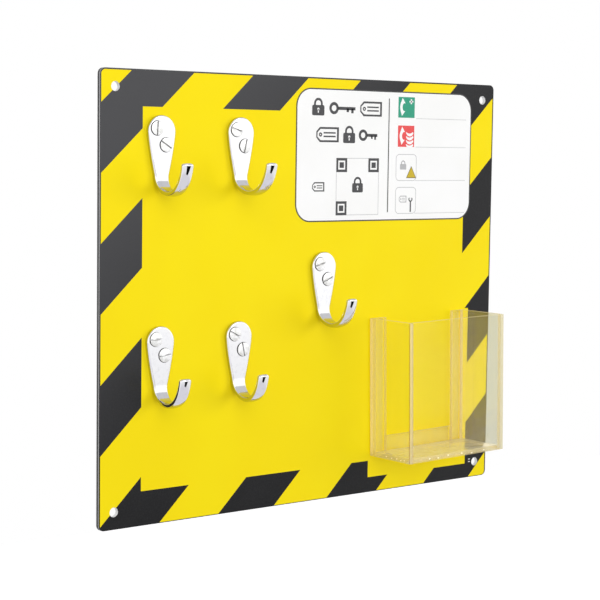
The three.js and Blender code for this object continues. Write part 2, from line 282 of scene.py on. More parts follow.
def cut(piece, cutter):
    """Takes the cutter's shape out of the piece and removes the cutter."""
    modifier = piece.modifiers.new("cut", "BOOLEAN")
    modifier.operation = "DIFFERENCE"
    modifier.solver = "EXACT"
    modifier.object = cutter
    bpy.context.view_layer.update()
    depsgraph = bpy.context.evaluated_depsgraph_get()
    mesh = bpy.data.meshes.new_from_object(piece.evaluated_get(depsgraph))
    piece.modifiers.clear()
    piece.data = mesh
    bpy.data.objects.remove(cutter)


def circle(steps):
    """Angles round a full turn."""
    return np.linspace(0, 2 * math.pi, steps, endpoint=False)


def round_the_axis(radius, depth, angle):
    """Rings of points about the Y axis: x = r cos a, y = d, z = r sin a."""
    depth = np.broadcast_to(depth, (len(depth), angle.size))
    return np.stack([radius * np.cos(angle), depth, radius * np.sin(angle)], axis=-1)


def spun(points, turn):
    """Turns points about the Y axis: x cos a - z sin a, y, x sin a + z cos a."""
    x, y, z = np.moveaxis(points, -1, 0)
    cos = math.cos(turn)
    sin = math.sin(turn)
    return np.stack([x * cos - z * sin, y, x * sin + z * cos], axis=-1)


def turned(profile, steps):
    """Turns a profile of radius and depth pairs about the Y axis."""
    radius, depth = np.asarray(profile, float).T[:, :, None]
    return grid(round_the_axis(radius, depth, circle(steps)))


def across_and_up(node, depth):
    """The middle of a node's box, across and up, at a depth."""
    low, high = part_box(node)
    return np.array([(low.x + high.x) / 2, depth, (low.z + high.z) / 2])


def face_vectors(mesh, kind):
    """Each face's normal or center, as Blender names them."""
    vectors = np.zeros(len(mesh.polygons) * 3, np.float32)
    mesh.polygons.foreach_get(kind, vectors)
    return vectors.reshape(-1, 3)


def set_materials(mesh, second):
    """The faces get the mesh's first material, or its second where the mask says so."""
    mesh.polygons.foreach_set("material_index", second.astype(np.int32))


def ball(rise, around):
    """Points of a ball of radius 1: x = cos e cos t, y = cos e sin t, z = sin e."""
    rise = rise[:, None]
    points = np.cos(rise) * np.cos(around), np.cos(rise) * np.sin(around), np.sin(rise)
    return np.stack(np.broadcast_arrays(*points), axis=-1)


def rounded_box(half, radius):
    """A box with round edges: a ball's surface pulled apart at its octants to the box's corners.

    A point is its octant's corner, set in by the radius, plus the radius times the ball's normal,
    over a grid of longitude and latitude that has each octant's ends twice. The first and last
    rows shrink to the middles of the two end faces.
    """
    steps = 4
    quarter = np.linspace(0, math.pi / 2, steps)
    around = np.concatenate([quarter + k * math.pi / 2 for k in range(4)])
    rise = np.concatenate([quarter - math.pi / 2, quarter])
    side_x = np.repeat([1, -1, -1, 1], steps)
    side_y = np.repeat([1, 1, -1, -1], steps)
    side_z = np.repeat([-1, 1], steps)[:, None]
    sides = np.stack(np.broadcast_arrays(side_x, side_y, side_z), axis=-1)
    points = sides * (half - radius) + radius * ball(rise, around)
    ends = points[[0, -1]] * (0, 0, 1)
    return grid(np.concatenate([ends[:1], points, ends[1:]]))


def unit(vectors):
    """Each vector at a length of 1."""
    return vectors / np.linalg.norm(vectors, axis=1)[:, None]


# Materials


def maths_of(operation):
    """A method of a term that adds one Math node."""
    return lambda term, *others: term.maths(operation, *others)


class Term:
    """A number that a material works out at each point of a surface, for use in Python sums."""

    def __init__(self, finish, socket):
        self.finish = finish
        self.socket = socket

    def maths(self, operation, *others):
        values = dict(enumerate([self, *others]))
        return self.finish.node("Math", values, operation=operation)

    def __rsub__(self, other):
        return (self * -1) + other

    __add__ = __radd__ = maths_of("ADD")
    __sub__ = maths_of("SUBTRACT")
    __mul__ = __rmul__ = maths_of("MULTIPLY")
    __truediv__ = maths_of("DIVIDE")
    __lt__ = maths_of("LESS_THAN")
    __gt__ = maths_of("GREATER_THAN")
    __abs__ = maths_of("ABSOLUTE")
    least = maths_of("MINIMUM")
    most = maths_of("MAXIMUM")


class Shading:
    """The nodes of a material or of the world."""

    def __init__(self, tree):
        self.tree = tree
        self.tree.nodes.clear()

    def node(self, kind, values=None, output=0, **settings):
        """Adds a node. Its settings are set first, then its sockets get numbers or links."""
        node = self.tree.nodes.new("ShaderNode" + kind)
        for key, value in settings.items():
            setattr(node, key, value)
        for key, value in (values or {}).items():
            if isinstance(value, Term):
                self.tree.links.new(value.socket, node.inputs[key])
            else:
                node.inputs[key].default_value = value
        return Term(self, node.outputs[output]) if node.outputs else None

    def axes(self, vector):
        """The x, y and z of a vector."""
        outputs = self.node("SeparateXYZ", {0: vector}).socket.node.outputs
        return [Term(self, output) for output in outputs]

    def between(self, term, low, high):
        """0 below the low value, 1 above the high one and smooth between them."""
        values = {"Value": term, "From Min": low, "From Max": high}
        return self.node("MapRange", values, interpolation_type="SMOOTHSTEP")

    def window(self, term, low, high, blur):
        """1 from the low value to the high one, with a blurred edge at both."""
        ended = self.between(term, high - blur, high + blur)
        return self.between(term, low - blur, low + blur) * (1 - ended)

    def mix(self, share, first, second):
        """The first colour where the share is 0, and the second where it is 1."""
        values = {0: share, 6: first, 7: second}
        return self.node("Mix", values, output=2, data_type="RGBA")


class Finish(Shading):
    """A node material for one of the board's own finishes, worked out on Object coordinates."""

    def __init__(self, name):
        self.material = bpy.data.materials.new(name)
        self.material.use_nodes = True
        super().__init__(self.material.node_tree)
        self.place = self.node("TexCoord", output="Object")

    def noise(self, scale, detail=3, roughness=0.5, stretch=None):
        """Soft noise from 0 to 1, finer along an axis where the stretch is larger."""
        place = self.place
        if stretch:
            place = self.node("Mapping", {"Vector": place, "Scale": stretch})
        values = {"Vector": place, "Scale": scale, "Detail": detail, "Roughness": roughness}
        return self.node("TexNoise", values)

    def bump(self, height, strength, distance):
        values = {"Height": height, "Strength": strength, "Distance": distance}
        return self.node("Bump", values)

    def principled(self, **values):
        """A Principled shader, whose sockets are named in a keyword's way."""
        sockets = {}
        for key, value in values.items():
            sockets[key.replace("_", " ").title().replace("Ior", "IOR")] = value
        return self.node("BsdfPrincipled", sockets)

    def see_through(self, tint):
        """A shader that light goes straight through and is tinted by."""
        return self.node("BsdfTransparent", {"Color": tint})

    def blend(self, share, first, second):
        """The first shader where the share is 0, and the second where it is 1."""
        return self.node("MixShader", {0: share, 1: first, 2: second})

    def end(self, shader):
        self.node("OutputMaterial", {"Surface": shader})
        return self.material

    def surface(self, **values):
        return self.end(self.principled(**values))


def grey(level):
    return (level, level, level, 1)


def outside_rounded(across, up, half_width, half_height, radius):
    """How far a point lies outside a rectangle with round corners, and less than 0 inside it.

    With p and q as what goes past a corner's centre, it is sqrt(max(p, 0) ** 2 + max(q, 0) ** 2)
    + min(max(p, q), 0) - radius.
    """
    over_x = abs(across) - (half_width - radius)
    over_z = abs(up) - (half_height - radius)
    square = over_x.most(0) * over_x.most(0) + over_z.most(0) * over_z.most(0)
    return square.maths("SQRT") + over_x.most(over_z).least(0) - radius


def within(term, low, high):
    """1 from the low value to the high one, and 0 outside them."""
    return (term > low) * (term < high)


def film_finish():
    """Printed vinyl: a yellow ground, black stripes round its border and a dark outline."""
    finish = Finish("printed_vinyl")
    x, _, z = finish.axes(finish.place)
    across = x - LEFT
    down = TOP - z
    width = board_high.x - board_low.x
    height = board_high.z - board_low.z
    u = across / width
    v = down / height
    a, b, c, d, e, f = STRIPE_DRIFT
    drift = a + b * u + c * v + d * u * u + e * v * v + f * u * v
    turns = (across - drift) / STRIPE_ACROSS + down / STRIPE_DOWN - STRIPE_START
    stripe = (turns / 2).maths("FRACT") < 0.5
    inside = within(across, *INSIDE_ACROSS) * within(down, *INSIDE_DOWN)
    cleared = within(across, *CLEARED_ACROSS) * within(down, *CLEARED_DOWN)
    black = stripe * (1 - inside) * (1 - cleared)
    half_width = width / 2 - OUTLINE_WIDTH
    half_height = (height - OUTLINE_WIDTH - OUTLINE_BOTTOM) / 2
    middle_down = OUTLINE_WIDTH + half_height
    outside = outside_rounded(x, down - middle_down, half_width, half_height, OUTLINE_RADIUS)
    black = black.most(outside > 0)
    # Pale grey dashes replace the print beside the lower right hole
    pale_dash = across * 0
    for dash_across, dash_down in PALE_DASHES:
        beside = abs(across - dash_across) < DASH_HALF_WIDTH
        pale_dash = pale_dash.most(beside * (abs(down - dash_down) < DASH_HALF_HEIGHT))
    black = black * (1 - pale_dash)

    tone = finish.noise(14, detail=2)
    speck = finish.noise(900, detail=2)
    yellow = finish.mix(finish.between(tone, 0.3, 0.7), YELLOW_LIGHT, YELLOW_DEEP)
    dark = finish.mix(finish.between(speck, 0.35, 0.75), INK_DARK, INK_WORN)
    # Painted sheen: the black ink lightens towards the upper left
    painted_sheen = finish.between(z - SHEEN_SLANT * x + SHEEN_UNEVENNESS * (tone - 0.5), *SHEEN_RANGE)
    dark = finish.mix(painted_sheen, dark, INK_PAINTED_SHEEN)
    rub = finish.noise(30, detail=6, roughness=0.7)
    rough = 0.32 + 0.12 * finish.between(rub, 0.35, 0.75)
    ripple = finish.noise(220, detail=2)
    return finish.surface(
        base_color=finish.mix(black, finish.mix(pale_dash, yellow, grey(0.85)), dark),
        roughness=rough,
        specular_ior_level=0.15,
        normal=finish.bump(ripple, 0.25, 0.00002),
    )


def label_finish(low, high):
    """White vinyl with a thin dark outline that follows its round corners."""
    finish = Finish("white_vinyl")
    x, _, z = finish.axes(finish.place)
    middle = (low + high) / 2
    half = (high - low) / 2
    outside = outside_rounded(x - middle.x, z - middle.z, half.x, half.z, LABEL_RADIUS)
    edge = outside > -LABEL_LINE
    cloud = finish.between(finish.noise(20, detail=3), 0.3, 0.7)
    white = finish.mix(cloud, grey(0.97), (0.94, 0.94, 0.93, 1))
    rub = finish.noise(45, detail=5, roughness=0.65)
    return finish.surface(
        base_color=finish.mix(edge, white, grey(0.05)),
        roughness=0.3 + 0.15 * finish.between(rub, 0.35, 0.7),
        specular_ior_level=0.3,
    )


def skin_finish():
    """Mill-finished sheet metal, rolled along its width, with faint scratches."""
    finish = Finish("rolled_metal")
    rolled = finish.noise(60, detail=4, roughness=0.6, stretch=(0.5, 6, 12))
    smear = finish.noise(9, detail=3)
    scratch = finish.noise(500, detail=2, stretch=(0.4, 1, 1))
    colour = finish.mix(rolled, grey(0.52), grey(0.66))
    return finish.surface(
        base_color=colour,
        metallic=1,
        roughness=0.28 + 0.16 * rolled + 0.1 * smear,
        normal=finish.bump(scratch, 0.2, 0.00003),
    )


def core_finish():
    """Black plastic core with the ridges that a saw leaves. The drilled holes' walls are pale."""
    finish = Finish("sawn_black_core")
    x, _, z = finish.axes(finish.place)
    beside = abs(abs(x) - HOLE_ACROSS)
    above = abs(abs(z) - HOLE_UP)
    drilled = (beside * beside + above * above) < HOLE_ZONE**2
    ridges = finish.noise(2500, detail=2)
    sawn = finish.mix(ridges, grey(0.010), grey(0.035))
    return finish.surface(
        base_color=finish.mix(drilled, sawn, finish.mix(ridges, grey(0.80), grey(0.90))),
        roughness=0.5 + 0.2 * ridges,
        normal=finish.bump(ridges, 0.5, 0.00008),
    )


def chrome_finish():
    """Bright chrome over a cast hook: a slow waviness from polishing and a few hazy patches."""
    finish = Finish("bright_chrome")
    wave = finish.noise(110, detail=2)
    haze = finish.noise(300, detail=5, roughness=0.7)
    fog = finish.between(haze, 0.45, 0.8)
    return finish.surface(
        base_color=finish.mix(fog, (0.62, 0.62, 0.63, 1), (0.55, 0.55, 0.57, 1)),
        metallic=1,
        roughness=0.03 + 0.07 * fog,
        normal=finish.bump(wave, 0.10, 0.0003),
    )


def nickel_finish():
    """Nickel plating on the screws, duller than the hooks' chrome, with a fine cloudy unevenness.
    """
    finish = Finish("dull_nickel")
    cloud = finish.noise(350, detail=4, roughness=0.6)
    dull = finish.between(cloud, 0.35, 0.7)
    return finish.surface(
        base_color=finish.mix(dull, grey(0.80), (0.58, 0.58, 0.56, 1)),
        metallic=1,
        roughness=0.36 + 0.15 * cloud,
        normal=finish.bump(cloud, 0.15, 0.0001),
    )


def mottled_finish(name, noise, colours, roughness, **values):
    """A finish whose colour and roughness both go from a first value to a second with one noise.

    The noise is given as its scale, its detail and, if it isn't 0.5, its own roughness.
    """
    finish = Finish(name)
    cloud = finish.noise(*noise)
    low, high = roughness
    return finish.surface(
        base_color=finish.mix(cloud, *colours),
        roughness=low + (high - low) * cloud,
        **values,
    )


def rim_shade_finish():
    """The screw heads' rims, darkened by a painted shade for the gap round the head."""
    colours = grey(0.16), (0.36, 0.35, 0.34, 1)
    return mottled_finish("painted_rim_shade", (900, 3), colours, roughness=(0.4, 0.6), metallic=0.7)


def plated_finish():
    """Zinc plating, a little milky, with darker blotches."""
    colours = grey(0.42), (0.62, 0.63, 0.66, 1)
    noise = (400, 4, 0.6)
    return mottled_finish("zinc_plating", noise, colours, roughness=(0.25, 0.45), metallic=1)


def mirrored_share(finish, straight_on):
    """How much light a clear face turns back, by Schlick: f + (1 - f)(1 - cos a) ** 5."""
    facing = finish.node("LayerWeight", {"Blend": 0.5}, output="Facing")
    return straight_on + (1 - straight_on) * facing.maths("POWER", 5)


def clear_finish(name, straight_on, milkiness, milk_colour=MILK_AND_BOARD_REFLECTION):
    """Clear cast sheet: it mirrors a little, and fine rubbing makes it slightly milky."""
    finish = Finish(name)
    rub = finish.between(finish.noise(70, detail=6, roughness=0.7), 0.3, 0.8)
    milkiness = milkiness * (0.7 + 0.6 * rub)
    return clear_sheet(finish, straight_on, milkiness, milk_colour)


def clear_sheet(finish, straight_on, milkiness, milk_colour=MILK_AND_BOARD_REFLECTION, through=None):
    """Light goes through the sheet, is mirrored at its face or is scattered by its milkiness."""
    smear = finish.noise(70, detail=4, roughness=0.7)
    through = through or finish.see_through(CLEAR_TINT)
    mirror = finish.principled(base_color=(1, 1, 1, 1), metallic=1, roughness=0.02 + 0.1 * smear)
    milk = finish.principled(base_color=milk_colour, roughness=0.6)
    glass = finish.blend(mirrored_share(finish, straight_on), through, mirror)
    return finish.end(finish.blend(milkiness, glass, milk))


def left_side_finish(front):
    """The left side's sheet, tinted darker just behind its front edge by a painted dark
    reflection.
    """
    finish = Finish("clear_side")
    depth = finish.axes(finish.place)[1] - front
    # Painted dark reflection just behind the front edge
    behind = finish.between(depth, *PAINTED_REFLECTION_BAND)
    through = finish.blend(behind, finish.see_through(PAINTED_REFLECTION_TINT), finish.see_through(CLEAR_TINT))
    haze = 0.01 + 0.02 * finish.noise(70, detail=6, roughness=0.7)
    return clear_sheet(finish, straight_on=0.09, milkiness=haze, through=through)


def right_side_finish(foot):
    """The right side's sheet, hazy from handling, with specks of dust towards its foot."""
    finish = Finish("hazy_side")
    height = finish.axes(finish.place)[2] - foot
    low = 1 - finish.between(height, *DUST_HEIGHTS)
    speck = finish.between(finish.noise(600, detail=3, roughness=0.7), 0.5, 0.7)
    rub = finish.noise(70, detail=6, roughness=0.7)
    haze = 0.03 + 0.03 * rub + low * (0.02 + 0.14 * speck)
    return clear_sheet(finish, straight_on=0.10, milkiness=haze, milk_colour=PALE_MILK)


def cut_edge_finish():
    """The sheet's cut edges, which the saw left creamy and half clear."""
    finish = Finish("cut_sheet_edge")
    teeth = finish.noise(1500, detail=3)
    through = finish.see_through((0.97, 0.94, 0.84, 1))
    milk = finish.principled(
        base_color=finish.mix(teeth, (0.95, 0.80, 0.42, 1), (0.98, 0.88, 0.60, 1)),
        roughness=0.3 + 0.25 * teeth,
        normal=finish.bump(teeth, 0.4, 0.00005),
    )
    return finish.end(finish.blend(0.35 + 0.3 * teeth, through, milk))


def tape_finish():
    """Clear double-sided tape, whose front is milky in upright streaks of trapped air."""
    finish = Finish("milky_tape")
    air = finish.between(finish.noise(240, detail=3, stretch=(1, 1, 0.1)), 0.35, 0.65)
    out = finish.axes(finish.node("NewGeometry", output="Normal"))[1] < -0.5
    through = finish.see_through((0.995, 0.99, 0.96, 1))
    milk = finish.principled(base_color=GLUE_MILK, roughness=0.5)
    return finish.end(finish.blend(out * (0.15 + 0.07 * air), through, milk))


def ink_finish(name, colour):
    """Printed ink with a faint unevenness."""
    colours = colour, tuple(min(1, c * 1.25 + 0.01) for c in colour[:3]) + (1,)
    rough = (0.35, 0.45)
    return mottled_finish(name, (1200, 2), colours, roughness=rough, specular_ior_level=0.3)


# Hook


def smooth_step(share):
    share = share.clip(0, 1)
    return share * share * (3 - 2 * share)


class Arm:
    """A hook's bent arm, by the length from the hook's top.

    Its middle line, as out from the plate's back and down from its top, is the cubic curve
    (1 - t) ** 3 a + 3 (1 - t) ** 2 t b + 3 (1 - t) t ** 2 c + t ** 3 d of four points.
    """

    def __init__(self, reach, drop):
        start = np.array([HOOK_THICKNESS / 2, PLATE_LENGTH])
        end = np.array([HOOK_THICKNESS / 2 + reach, drop])
        first = start + [0, BEND_START_PULL]
        second = end + BEND_END_PULL * np.array([-math.sin(TIP_LEAN), math.cos(TIP_LEAN)])
        t = np.linspace(0, 1, 600)[:, None]
        middle = (1 - t) ** 3 * start + 3 * (1 - t) ** 2 * t * first
        middle = middle + 3 * (1 - t) * t**2 * second + t**3 * end
        step = np.diff(middle, axis=0)
        run = np.cumsum(np.hypot(step[:, 0], step[:, 1]))
        self.lengths = PLATE_LENGTH + np.concatenate([[0], run])
        self.middle = middle
        self.along = unit(np.gradient(middle, self.lengths, axis=0))
        self.shares = t[:, 0]
        self.end = self.lengths[-1]

    def half_width(self, length):
        """Half the arm's width: it narrows fast from the neck, and flares a little at the tip."""
        share = np.interp(length, self.lengths, self.shares)
        narrow = ARM_WIDTH + (NECK_WIDTH - ARM_WIDTH) * (1 - share) ** 3
        return (narrow + (TIP_WIDTH - ARM_WIDTH) * share**4) / 2

    def outline(self):
        """Half the flat outline from the top of the head to the tip, as half widths and lengths.

        A quarter circle, then a taper by a power of the length, then the arm's widths, and at last
        a quarter of a superellipse, |x / a| ** p + |y / b| ** p = 1, as the tip's corner.
        """
        turn = np.linspace(0, math.pi / 2, 40)
        head = np.stack([HEAD_RADIUS * np.sin(turn), HEAD_RADIUS * (1 - np.cos(turn))], axis=1)
        share = np.linspace(0, 1, 40)[1:]
        taper = np.stack([
            HEAD_RADIUS - (HEAD_RADIUS - NECK_WIDTH / 2) * share**TAPER_POWER,
            HEAD_RADIUS + (PLATE_LENGTH - HEAD_RADIUS) * share,
        ], axis=1)
        length = np.linspace(PLATE_LENGTH, self.end - TIP_ROUNDING, 90)[1:]
        arm = np.stack([self.half_width(length), length], axis=1)
        power = 2 / TIP_SQUARENESS
        turn = np.linspace(0, math.pi / 2, 24)[1:]
        tip = np.stack([
            arm[-1, 0] * np.cos(turn).clip(0) ** power,
            self.end - TIP_ROUNDING * (1 - np.sin(turn) ** power),
        ], axis=1)
        return np.concatenate([head, taper, arm, tip])

    def bent(self, across, along, forward):
        """Bends the flat hook: out and down follow the middle line, plus forward on its normal."""

        def follow(line, on_plate):
            return np.where(along > PLATE_LENGTH, np.interp(along, self.lengths, line), on_plate)

        out = follow(self.middle[:, 0], HOOK_THICKNESS / 2)
        drop = follow(self.middle[:, 1], along)
        tilt_out = follow(self.along[:, 0], 0)
        tilt_drop = follow(self.along[:, 1], 1)
        return np.stack([across, -(out + forward * tilt_drop), forward * tilt_out - drop], axis=-1)


def hook_grid(hook_arm):
    """Across, along and forward of the hook's skin, rows from the top to the tip, rings round it.

    A ring is a flat bar's, with round edges set in from the outline by r (1 - cos a) and lowered
    by r (1 - sin a). On the arm the side that becomes its outer face bulges by a share of the
    square of the way across. The tip's end closes in a half circle, h sqrt(1 - (1 - d / h) ** 2).
    """
    outline = hook_arm.outline()
    step = unit(np.gradient(outline, axis=0))
    inward = np.stack([-step[:, 1], step[:, 0]], axis=1)
    inward[0] = (0, 1)
    inward[-1] = (0, -1)
    length = outline[:, 1:]
    arm = smooth_step((length - PLATE_LENGTH) / ARM_BLEND)
    tip = smooth_step(1 - (hook_arm.end - length) / TIP_ZONE)
    half = HOOK_THICKNESS / 2
    arm_radius = ARM_EDGE_RADIUS + tip * (TIP_EDGE_RADIUS - ARM_EDGE_RADIUS)
    front_radius = FRONT_EDGE_RADIUS + arm * (arm_radius - FRONT_EDGE_RADIUS)
    back_radius = BACK_EDGE_RADIUS + arm * (arm_radius - BACK_EDGE_RADIUS)
    turn = np.linspace(0, math.pi / 2, 9)
    inset = np.hstack([front_radius * (1 - np.cos(turn[::-1])), back_radius * (1 - np.cos(turn))])
    fill = np.linspace(0, 1, 13)[:-1]

    def filled(edge, share):
        """The edge's points, with the front's before them and the back's behind."""
        return np.hstack([edge[:, :1] * share, edge, edge[:, -1:] * share[::-1]])

    across = filled(outline[:, :1] + inward[:, :1] * inset, fill)
    along = filled(length + inward[:, 1:] * inset, np.ones(len(fill)))
    level = np.zeros((len(outline), len(fill)))
    front = np.hstack([level + half, half - front_radius * (1 - np.sin(turn[::-1]))])
    back = np.hstack([back_radius * (1 - np.sin(turn)), level])
    wide = np.where(length > PLATE_LENGTH, hook_arm.half_width(length), outline[:, :1].max())
    bulge = arm * (OUTER_BULGE + tip * (TIP_BULGE - OUTER_BULGE))
    back = back - half + bulge * (across[:, front.shape[1]:] / wide) ** 2
    forward = np.hstack([front, back])
    from_end = ((hook_arm.end - along) / half).clip(0, 1)
    forward = forward * np.sqrt(1 - (1 - from_end) ** 2)
    return (
        np.hstack([across, -across[:, ::-1]]),
        np.hstack([along, along[:, ::-1]]),
        np.hstack([forward, forward[:, ::-1]]),
    )


def screw_seat(head_radius):
    """The hole in a hook's plate: a shank hole with a cone that is open to the front."""
    head = head_radius + SCREW_CLEARANCE
    front = -HOOK_THICKNESS
    return turned(steps=64, profile=[
        (0, front - CUT_OVERRUN),
        (head, front - CUT_OVERRUN),
        (head, front),
        (BORE_RADIUS, front + head - BORE_RADIUS),
        (BORE_RADIUS, CUT_OVERRUN),
        (0, CUT_OVERRUN),
    ])


def make_hook(name, arm, chrome):
    low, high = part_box(name)
    place = np.array([(low.x + high.x) / 2, high.y, high.z])
    skin = grid(arm.bent(*hook_grid(arm)))
    hook = make_piece(name + "_cast", skin, chrome, place, smooth_angle=40)
    for row in SCREW_ROWS:
        screw = f"{name}_{row}_screw"
        screw_low, screw_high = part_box(screw)
        seat = screw_seat((screw_high.x - screw_low.x) / 2)
        cut(hook, make_piece("seat", seat, chrome, across_and_up(screw, high.y)))
    settle(hook, "chrome", name)


# Fasteners


def screw_profile(head):
    """Radius and depth pairs of the head, from the dome's middle to the shank, front at zero.

    The dome's height falls by the square of the way out. Its edge is a quarter circle, and its
    cone narrows by as much as it goes deeper.
    """
    share = np.linspace(0, 1, 14)
    rim = -HEAD_RIM
    dome = np.stack([(head - HEAD_EDGE) * share, rim - HEAD_DOME * (1 - share**2)], axis=1)
    turn = np.linspace(0, math.pi / 2, 5)[1:]
    edge = np.stack([
        head - HEAD_EDGE * (1 - np.sin(turn)),
        rim + HEAD_EDGE * (1 - np.cos(turn)),
    ], axis=1)
    cone = np.array([(head, 0), (SHANK_RADIUS, head - SHANK_RADIUS)])
    return np.concatenate([dome, edge, cone])


def threaded_shank(start, end):
    """The thread: its radius is a triangle wave of the depth less a turn's share of the pitch."""
    turns = (end - start) / THREAD_PITCH
    depth = np.linspace(start, end, int(turns * THREAD_RINGS))[:, None]
    angle = circle(40)
    phase = (depth / THREAD_PITCH - angle / (2 * math.pi)) % 1
    wave = 1 - np.abs(2 * phase - 1)
    fade = ((depth - start) / THREAD_PITCH).clip(0, 1)
    fade = fade * ((end - depth) / (0.5 * THREAD_PITCH)).clip(0, 1)
    radius = SHANK_RADIUS - THREAD_DEPTH * (wave * fade + (1 - fade) * (depth > (start + end) / 2))
    points = round_the_axis(radius, depth, angle)
    first = points[:1] * [0, 1, 0]
    last = points[-1:] * [0, 1, 0]
    return grid(np.concatenate([first, points, last]))


def make_screw(node, angle, hook_front, nickel, rim_shade):
    low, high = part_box(node)
    head = (high.z - low.z) / 2
    centre = across_and_up(node, hook_front)
    profile = screw_profile(head)
    tail = profile[-1, 1]
    stub = tail + STUB_LENGTH
    closed = np.concatenate([profile, [(SHANK_RADIUS, stub), (0, stub)]])
    screw = make_piece(node + "_turned", turned(closed, steps=72), nickel, centre)
    screw.data.materials.append(rim_shade)
    crown = -HEAD_RIM - HEAD_DOME
    half = np.array([head + CUT_OVERRUN, SLOT_DEPTH, SLOT_WIDTH / 2])
    points, quads = rounded_box(half, EDGE_BREAK)
    slot = spun(points + (0, crown, 0), math.radians(angle)), quads
    cut(screw, make_piece("slot", slot, nickel, centre))
    from_axis = (face_vectors(screw.data, "center") - centre)[:, [0, 2]]
    at_rim = np.hypot(from_axis[:, 0], from_axis[:, 1]) > RIM_START * head
    facing = np.abs(face_vectors(screw.data, "normal")[:, 1]) > RIM_FACING
    # Faces round the head's rim take the painted shade
    set_materials(screw.data, at_rim & ~facing)
    shank = threaded_shank(tail, high.y - hook_front)
    thread = make_piece(node + "_thread", shank, nickel, centre, smooth_angle=60)
    settle(screw, "chrome", node)
    settle(thread, "chrome", node)


def make_washer(node, zinc):
    """A flat ring with broken edges, as a profile turned about its axis."""
    low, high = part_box(node)
    inner = BORE_RADIUS
    outer = (high.z - low.z) / 2
    thick = high.y - low.y
    e = EDGE_BREAK
    ring = [
        (inner + e, 0), (outer - e, 0), (outer, e), (outer, thick - e),
        (outer - e, thick), (inner + e, thick), (inner, thick - e), (inner, e), (inner + e, 0),
    ]
    shape = turned(ring, steps=64)
    settle(make_piece(node + "_pressed", shape, zinc, across_and_up(node, low.y)), "zinc", node)


def make_nut(node, zinc):
    """A hexagon whose corners are cut back by a cone.

    At each angle the side lies at (half the flats) / cos(angle from the nearest flat), and the
    faces fall by tan 30 of the radius past the chamfer's start.
    """
    low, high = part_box(node)
    tall = high.y - low.y
    angle = circle(96)
    from_flat = (angle % (math.pi / 3)) - math.pi / 6
    side = (NUT_FLATS / 2) / np.cos(from_flat)
    share = np.linspace(0, 1, 6)[:, None]
    radius = NUT_CHAMFER_START + (side - NUT_CHAMFER_START) * share
    fall = (radius - NUT_CHAMFER_START) * math.tan(NUT_CHAMFER_ANGLE)
    hole = np.full((1, len(angle)), BORE_RADIUS)
    lip = hole + EDGE_BREAK
    broken = np.full_like(hole, EDGE_BREAK)
    radius = np.concatenate([hole, lip, radius, radius[::-1], lip, hole, hole])
    depth = np.concatenate([broken, 0 * hole, fall])
    depth = np.concatenate([depth, tall - depth[::-1], broken])
    shape = grid(round_the_axis(radius, depth, angle))
    nut = make_piece(node + "_hex", shape, zinc, across_and_up(node, low.y), smooth_angle=20)
    settle(nut, "zinc", node)


# Pocket


def square_box(node):
    """A turned piece's middle, and half its width, depth and height from before the turn.

    A box w wide and h high, turned by a, fills w cos a + h sin a by h cos a + w sin a.
    """
    low, high = (np.array(corner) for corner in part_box(node))
    wide, deep, tall = high - low
    cos = math.cos(POCKET_TURN)
    sin = math.sin(POCKET_TURN)
    square = np.array([wide * cos - tall * sin, 0, tall * cos - wide * sin])
    half = (square / math.cos(2 * POCKET_TURN) + (0, deep, 0)) / 2
    return (low + high) / 2, half


def askew(points, middle):
    """Points turned as the pocket is, round its piece's middle."""
    return middle + spun(points, POCKET_TURN)


def make_sheet(node, thin_axis, clear, edge):
    """A clear sheet with eased edges: its two faces are clear and its cut edges are creamy."""
    middle, half = square_box(node)
    points, quads = rounded_box(half - GLUE_GAP, PLATE_EDGE)
    sheet = make_piece(node + "_sheet", (askew(points, middle), quads), clear, smooth_angle=60)
    mesh = sheet.data
    mesh.materials.append(edge)
    set_materials(mesh, np.abs(face_vectors(mesh, "normal")[:, thin_axis]) < CUT_EDGE_FACING)
    settle(sheet, "acrylic", node)


def make_pocket():
    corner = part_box("pocket_left_side")[0]
    clear = clear_finish("clear_sheet", straight_on=0.008, milkiness=0.010)
    milky = clear_finish("milky_sheet", straight_on=0.012, milkiness=0.30, milk_colour=CREAMY_MILK)
    edge = cut_edge_finish()
    make_sheet("pocket_left_side", 0, left_side_finish(corner.y), edge)
    make_sheet("pocket_right_side", 0, right_side_finish(corner.z), edge)
    make_sheet("pocket_base", 2, milky, edge)
    for name in ("front", "left_strip", "right_strip", "lower_strip"):
        make_sheet("pocket_" + name, 1, clear, edge)
    make_glue_beads()


def make_glue_beads():
    """Beads of set glue along the pocket's foot, as ellipsoids half sunk in its sheets.

    x = a cos e cos t, y = b cos e sin t, z = c sin e.
    """
    bead = ball(np.linspace(-math.pi / 2, math.pi / 2, 9), circle(12)) * BEAD_SIZE
    parts = []
    middle, half = square_box("pocket_front")
    for along, up in FRONT_BEADS:
        place = -half + (along, BEAD_SIZE[1] + GLUE_GAP, up)
        parts.append(grid(askew(bead + place, middle)))
    middle, half = square_box("pocket_left_side")
    for back, up in SIDE_BEADS:
        place = -half + (SIDE_BEAD_SHARE * BEAD_SIZE[0] + GLUE_GAP, back, up)
        parts.append(grid(askew(SIDE_BEAD_SHARE * bead + place, middle)))
    colours = GLUE_MILK, (1, 0.98, 0.88, 1)
    rough = (0.15, 0.25)
    glue = mottled_finish("set_glue", (900, 2), colours, roughness=rough, coat_weight=0.3)
    settle(make_piece("pocket_glue_beads", join(parts), glue, smooth_angle=60), "acrylic")


# Label


def raised(side_a, side_b, rise):
    """Two lines of across and down points at the rise's top, and turned round at its bottom."""
    low, high = rise
    lines = [(side_a, high), (side_b, high), (side_b, low), (side_a, low)]
    return [np.insert(line, 2, level, axis=1) for line, level in lines]


